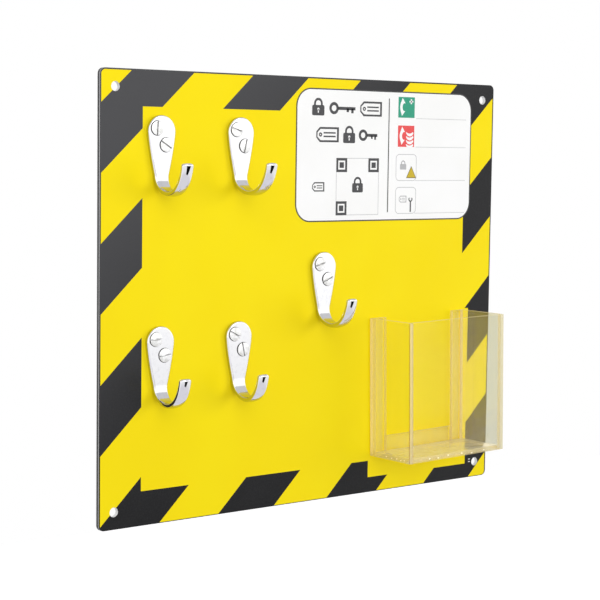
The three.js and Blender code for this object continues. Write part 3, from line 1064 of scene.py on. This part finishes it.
def ribbon(side_a, side_b, rise=ON_LABEL, closed=False):
    """A flat band between two lines. An open band's ends are rings drawn together to a point."""
    ring = np.stack(raised(side_a, side_b, rise), axis=1)
    if closed:
        return grid(ring, closed_rows=True)
    first = np.broadcast_to(ring[:1].mean(axis=1, keepdims=True), (1, 4, 3))
    last = np.broadcast_to(ring[-1:].mean(axis=1, keepdims=True), (1, 4, 3))
    return grid(np.concatenate([first, ring, last]))


def slab(outline, rise=ON_LABEL):
    """A flat patch inside a closed outline that its middle can see all of."""
    middle = np.broadcast_to(outline.mean(axis=0), outline.shape)
    return grid(np.stack(raised(middle, outline, rise)))


def line_mark(path, width, rise=ON_LABEL):
    """A band of a width, or of one width a point, along a path.

    Its sides lie half the width off along the mitre, (m + n) / (1 + m . n) of the two normals.
    """
    path = np.asarray(path, float)
    step = unit(np.diff(path, axis=0))
    normal = np.stack([-step[:, 1], step[:, 0]], axis=1)
    before = np.concatenate([normal[:1], normal])
    after = np.concatenate([normal, normal[-1:]])
    mitre = (before + after) / (1 + (before * after).sum(axis=1))[:, None]
    shift = mitre * (np.asarray(width, float) / 2 * np.ones(len(path)))[:, None]
    return ribbon(path + shift, path - shift, rise)


def arc(x, y, radius, start, end, steps=16):
    """Points on an arc, x + r cos a by y + r sin a, in degrees clockwise from the right."""
    turn = np.radians(np.linspace(start, end, steps))
    return np.stack([x + radius * np.cos(turn), y + radius * np.sin(turn)], axis=1)


def rounded_outline(left, top, right, bottom, radius, steps=7):
    """A rectangle's outline: a quarter circle round each corner's centre."""
    left, right = left + radius, right - radius
    top, bottom = top + radius, bottom - radius
    centres = [(right, bottom), (left, bottom), (left, top), (right, top)]
    return np.concatenate([
        arc(*centre, radius, 90 * k, 90 * (k + 1), steps) for k, centre in enumerate(centres)
    ])


def frame_mark(left, top, right, bottom, radius, width, rise=ON_LABEL):
    """A rectangular frame with round corners."""
    outer = rounded_outline(left, top, right, bottom, radius)
    inside = max(radius - width, 0.02)
    inner = rounded_outline(left + width, top + width, right - width, bottom - width, inside)
    return ribbon(outer, inner, rise, closed=True)


def box_mark(left, top, right, bottom, rise=ON_LABEL):
    return slab(rounded_outline(left, top, right, bottom, 0.05, steps=4), rise)


def padlock_mark(x, y, width):
    """A padlock's outline: its body is a round-cornered block, and its shackle a bent bar."""
    body_top = y + 0.46 * width
    bend = arc(x + width / 2, y + 0.36 * width, 0.28 * width, 180, 360)
    foot_left = [(bend[0, 0], body_top + 0.2)]
    foot_right = [(bend[-1, 0], body_top + 0.2)]
    return [
        slab(rounded_outline(x, body_top, x + width, y + 1.12 * width, 0.1 * width)),
        line_mark(np.concatenate([foot_left, bend, foot_right]), 0.15 * width),
    ]


def keyhole_mark(x, y, width):
    """The keyhole of the same padlock: a round hole over a slot."""
    middle = x + width / 2
    hole = arc(middle, y + 0.72 * width, 0.09 * width, 0, 330, 12)
    half = 0.04 * width
    slot = box_mark(middle - half, y + 0.72 * width, middle + half, y + 0.95 * width, ON_TILE)
    return [slab(hole, ON_TILE), slot]


def key_mark(x, y, length, height):
    """A key lying down: a ring, a stem and two bits."""
    middle = y + height / 2
    bow = height / 2
    turn = arc(0, 0, 1, 0, 345, 24)
    centre = np.array([x + bow, middle])
    bit = x + length
    return [
        ribbon(centre + bow * turn, centre + 0.5 * bow * turn, closed=True),
        box_mark(x + 1.9 * bow, middle - 0.13 * height, bit, middle + 0.13 * height),
        box_mark(bit - 0.16 * length, middle, bit - 0.07 * length, y + 0.88 * height),
        box_mark(bit - 0.34 * length, middle, bit - 0.25 * length, y + 0.80 * height),
    ]


def tag_mark(x, y, width, height):
    """A hanging tag: a plate with two cut corners, a hole and two ruled lines."""
    cut_off = 0.3 * height
    stroke = 0.13 * height
    right = x + width
    foot = y + height
    outline = np.array([
        (x, y + cut_off), (x + cut_off, y), (right, y), (right, foot), (x + cut_off, foot),
        (x, foot - cut_off),
    ])
    middle = outline.mean(axis=0)
    inner = middle + (outline - middle) * (1 - 2 * stroke / np.array([width, height]))
    hole = height * arc(0, 0, 1, 0, 345, 16)
    centre = np.array([x + 0.36 * height, y + height / 2])
    marks = [
        ribbon(outline, inner, closed=True),
        ribbon(centre + 0.14 * hole, centre + 0.05 * hole, closed=True),
    ]
    for top in (0.33, 0.57):
        ends = x + 0.62 * height, right - 0.28 * height
        marks.append(box_mark(ends[0], y + top * height, ends[1], y + (top + 0.1) * height))
    return marks


def handset_mark(x, y):
    """A telephone handset on end: a bow that swells at its ear and mouth pieces."""
    bow = arc(x + 8.0, y + 5.2, 5.8, 236, 128, 24)
    share = np.linspace(-1, 1, len(bow))
    return line_mark(bow, 2.3 + 2.6 * np.abs(share) ** 4, ON_TILE)


def flame_mark(x, y):
    """Four tongues of flame, as tapered bows that lean the same way."""
    marks = []
    for row in range(4):
        tongue = arc(x + 2.6, y + 2.9 * row - 1.6, 3.9, 150, 32, 12)
        taper = 2.0 * np.sin(np.linspace(0.25, 2.6, len(tongue))) + 0.05
        marks.append(line_mark(tongue, taper, ON_TILE))
    return marks


def spanner_mark(x, y):
    """A spanner on end: a stem under an open jaw."""
    jaw = arc(x, y, 1.5, -40, 220, 16)
    stem = [(x, y + 1.4), (x, y + 9.4)]
    return [line_mark(jaw, 0.9), line_mark(stem, 1.15)]


def corner_mark(x, y):
    """One finder square of a two-dimensional code, 10 mm wide."""
    return [
        frame_mark(x, y, x + 10, y + 10, 0.1, 1.8),
        box_mark(x + 3, y + 3, x + 7, y + 7),
    ]


def print_marks(name, marks, material, label_front):
    """Marks as across, down and rise in millimetres, put on the front of the label."""
    points, quads = join(marks)
    points = np.stack([
        LEFT + points[:, 0] / 1000,
        label_front - points[:, 2] / 1000,
        TOP - points[:, 1] / 1000,
    ], axis=1)
    settle(make_piece(name, (points, quads), material, smooth_angle=30), "label")


def make_label():
    low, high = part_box("header_label")
    dress("header_label", label_finish(low, high))
    dark = spanner_mark(266.8, 85.8)
    places = {padlock_mark: PADLOCKS, key_mark: KEYS, tag_mark: TAGS, corner_mark: CODE_CORNERS}
    for mark in places:
        for place in places[mark]:
            dark += mark(*place)
    thin = [
        frame_mark(195.6, 56.1, 235.5, 96.8, 0.1, 0.35, UNDER_CORNERS),
        frame_mark(251.9, 52.9, 272.1, 72.4, 3.2, 0.4),
        frame_mark(251.9, 76.9, 272.1, 96.4, 3.2, 0.4),
        *[box_mark(271.0, down - 0.15, 321.6, down + 0.15) for down in RULES_DOWN],
        *padlock_mark(256.0, 57.4, 6.0),
        *tag_mark(255.4, 83.2, 7.4, 5.0),
    ]
    triangle = np.array([(267.0, 62.4), (271.2, 69.9), (262.8, 69.9)])
    centre = triangle.mean(axis=0)
    edge = slab(centre + (triangle - centre) * 1.18, ON_LABEL)
    white = [
        handset_mark(254.0, 13.6),
        handset_mark(254.0, 34.5),
        box_mark(265.3, 12.8, 266.5, 16.4, ON_TILE),
        box_mark(264.1, 14.0, 267.7, 15.2, ON_TILE),
        *flame_mark(262.2, 36.6),
    ]
    for place in PADLOCKS:
        white += keyhole_mark(*place)
    divider = box_mark(244.05, 12.9, 244.95, 95.1)
    green = box_mark(253.4, 11.4, 269.3, 26.4)
    red = box_mark(253.4, 32.1, 269.3, 47.6)
    marks = [
        ("label_dark_marks", dark, "dark_ink", (0.045, 0.045, 0.048, 1)),
        ("label_divider", [divider], "divider_ink", (0.055, 0.055, 0.058, 1)),
        ("label_thin_lines", thin, "pale_ink", (0.42, 0.42, 0.43, 1)),
        ("label_green_tile", [green], "green_ink", (0.022, 0.28, 0.172, 1)),
        ("label_red_tile", [red], "red_ink", (0.70, 0.075, 0.075, 1)),
        ("label_triangle_edge", [edge], "olive_ink", (0.10, 0.08, 0.02, 1)),
        ("label_triangle", [slab(triangle, ON_TILE)], "amber_ink", (0.52, 0.38, 0.02, 1)),
        ("label_white_marks", white, "white_ink", (0.93, 0.94, 0.93, 1)),
    ]
    for name, shapes, ink, colour in marks:
        print_marks(name, shapes, ink_finish(ink, colour), low.y)


# Scene


def dress(node, material):
    """Gives a node of the frame its material."""
    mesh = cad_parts[node].data
    mesh.materials.clear()
    mesh.materials.append(material)


def make_camera():
    """The camera of the fit: rolled about its view, pitched from straight down, then turned."""
    data = bpy.data.cameras.new("camera")
    data.sensor_width = 36
    data.lens = data.sensor_width * FOCAL_PIXELS / IMAGE_WIDTH
    camera = add("camera", data)
    turn = Matrix.Rotation(-CAMERA_YAW, 4, "Z")
    turn = turn @ Matrix.Rotation(math.pi / 2 + CAMERA_PITCH, 4, "X")
    turn = turn @ Matrix.Rotation(CAMERA_ROLL, 4, "Z")
    camera.matrix_world = Matrix.Translation(CAMERA_PLACE) @ turn
    scene.camera = camera


def area_light(name, place, target, size, power):
    """A soft lamp. It lights the board, but what shines in the chrome is the studio's picture."""
    data = bpy.data.lights.new(name, "AREA")
    data.shape = "RECTANGLE"
    data.size, data.size_y = size
    data.energy = power
    light = add(name, data)
    light.location = place
    light.rotation_euler = (Vector(target) - Vector(place)).to_track_quat("-Z", "Y").to_euler()
    light.visible_glossy = False


def make_world():
    """White to the camera, a painted shade of grey behind clear sheets, and an even light on
    everything.

    Gloss finds a light tent: bright walls, a duller table below, a greyer roof, a lamp panel and
    a dark stand that widens upwards. Azimuth is 0 straight out from the board and grows to its
    right.
    """
    world = bpy.data.worlds.new("studio")
    scene.world = world
    world.use_nodes = True
    studio = Shading(world.node_tree)
    x, y, z = studio.axes(studio.node("TexCoord", output="Generated"))
    azimuth = x.maths("ARCTAN2", y * -1) * math.degrees(1)
    elevation = z.maths("ARCSINE") * math.degrees(1)
    table = studio.mix(studio.between(elevation, *TABLE_CHANGE), TABLE_UNDER, TABLE_BEYOND)
    tent = studio.mix(studio.between(elevation, *TABLE_END), table, TENT_WALL)
    tent = studio.mix(studio.between(elevation, *ROOF_START), tent, TENT_ROOF)
    lamp = studio.window(azimuth, *LAMP_AZIMUTHS, blur=4)
    lamp = lamp * studio.window(elevation, *LAMP_ELEVATIONS, blur=5)
    tent = studio.mix(lamp, tent, LAMP_PANEL)
    beside = abs(azimuth - STAND_AZIMUTH) - STAND_WIDENING * elevation
    stand = 1 - studio.between(beside, *STAND_HALF_WIDTH)
    stand = stand * studio.window(elevation, *STAND_ELEVATIONS, blur=1)
    tent = studio.mix(stand, tent, grey(0.01))
    path = studio.node("LightPath", output="Is Camera Ray")
    outputs = path.socket.node.outputs
    glossy = Term(studio, outputs["Is Glossy Ray"])
    seen = Term(studio, outputs["Is Camera Ray"])
    # Painted shade on the backdrop where it is seen through clear sheets
    behind = Term(studio, outputs["Transparent Depth"]) > 0.5
    backdrop = studio.mix(behind, grey(1), PAINTED_SHADE_BEHIND_SHEETS)
    colour = studio.mix(seen, studio.mix(glossy, grey(EVEN_LIGHT), tent), backdrop)
    studio.node("OutputWorld", {
        "Surface": studio.node("Background", {"Color": colour}),
    })


def make_floor():
    """A pale floor well under the board, which throws back no colour and no reflection."""
    finish = Finish("pale_floor")
    cloud = finish.noise(3, detail=2)
    material = finish.surface(
        base_color=finish.mix(cloud, grey(0.93), grey(0.95)),
        roughness=0.8,
        emission_color=(1, 1, 1, 1),
        emission_strength=0.45,
    )
    low = board_low.z - FLOOR_DROP
    across = [-FLOOR_REACH, FLOOR_REACH, FLOOR_REACH, -FLOOR_REACH]
    back = [-FLOOR_REACH, -FLOOR_REACH, FLOOR_BACK, FLOOR_BACK]
    corners = np.stack([across, back, [low] * 4], axis=1)
    floor = make_piece("floor", (corners, np.array([[0, 1, 2, 3]])), material)
    if floor.data.polygons[0].normal.z < 0:
        floor.data.flip_normals()
    floor.visible_glossy = False
    floor.visible_diffuse = False


def make_board():
    dress("back_skin", skin_finish())
    dress("front_skin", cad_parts["back_skin"].data.materials[0])
    dress("board_core", core_finish())
    dress("printed_film", film_finish())
    tape = tape_finish()
    for name in ("left", "right", "lower"):
        dress(f"pocket_{name}_tape", tape)


def make_fittings():
    chrome = chrome_finish()
    nickel = nickel_finish()
    rim_shade = rim_shade_finish()
    zinc = plated_finish()
    for hook, (reach, drop, *slot_angles) in HOOKS.items():
        make_hook(hook, Arm(reach, drop), chrome)
        hook_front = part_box(hook)[1].y - HOOK_THICKNESS
        for row, angle in zip(SCREW_ROWS, slot_angles):
            make_screw(f"{hook}_{row}_screw", angle, hook_front, nickel, rim_shade)
            make_washer(f"{hook}_{row}_washer", zinc)
            make_nut(f"{hook}_{row}_nut", zinc)


scene.view_settings.view_transform = "Standard"
scene.cycles.transparent_max_bounces = 40
make_camera()
make_world()
make_floor()
area_light("key", place=(1.45, -1.4, 0.2), target=(0, 0, 0), size=(1.1, 1.1), power=15.5)
area_light("fill", place=(-0.55, -0.85, 0.42), target=(-0.1, 0, 0), size=(0.9, 0.9), power=4.3)
make_board()
make_label()
make_fittings()
make_pocket()
